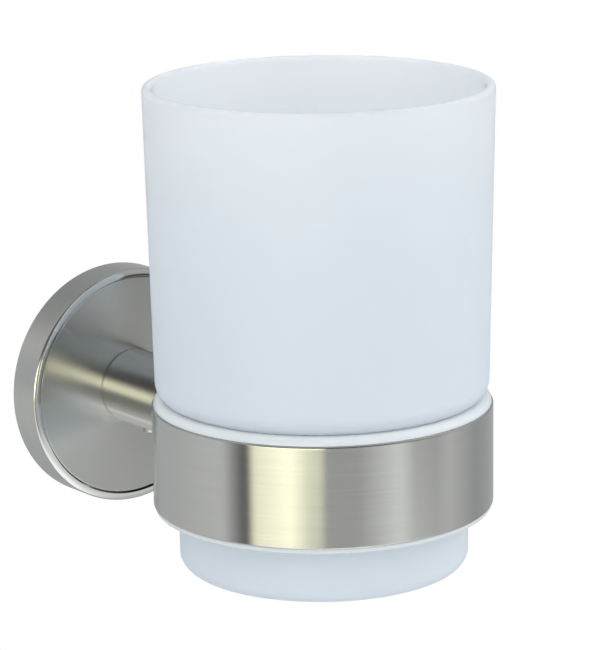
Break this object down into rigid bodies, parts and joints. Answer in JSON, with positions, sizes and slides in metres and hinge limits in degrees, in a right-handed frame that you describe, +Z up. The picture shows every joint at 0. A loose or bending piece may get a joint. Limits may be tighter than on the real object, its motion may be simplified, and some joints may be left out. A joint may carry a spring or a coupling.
{
  "type": "wall-mounted bathroom tumbler",
  "caption": "Frosted glass bathroom tumbler with a narrower foot, standing in a brushed steel ring with a plastic liner, on a short round arm and a round wall rosette.",
  "frame": {"origin": "on the wall plane, at the centre of the wall plate, on the axis of the arm", "axes": "+Z up along the tumbler, +Y into the wall, so the holder reaches out along -Y, and +X to the right seen from the front"},
  "size_m": [0.0734, 0.1152, 0.106],
  "materials": {
    "frosted_glass": "satin frosted, slightly blue-white",
    "liner_plastic": "glossy, milky translucent",
    "brushed_steel": "fine brushed, satin",
    "plain_steel": "plain machined"
  },
  "bodies": {
    "holder": {"liner_sleeve": "liner_plastic", "liner_lower_ring": "liner_plastic", "ring_band": "brushed_steel", "ring_screw": "plain_steel", "support_arm": "brushed_steel", "set_screw": "plain_steel", "rosette_rim": "brushed_steel", "rosette_disc": "brushed_steel", "wall_plate": "plain_steel", "wall_post": "plain_steel"},
    "tumbler": {"glass_tumbler": "frosted_glass"}
  },
  "joints": [
    {"name": "tumbler_lift", "type": "slide", "parent": "holder", "child": "tumbler", "axis": [0, 0, 1], "range_m": [0, 0.06]}
  ]
}
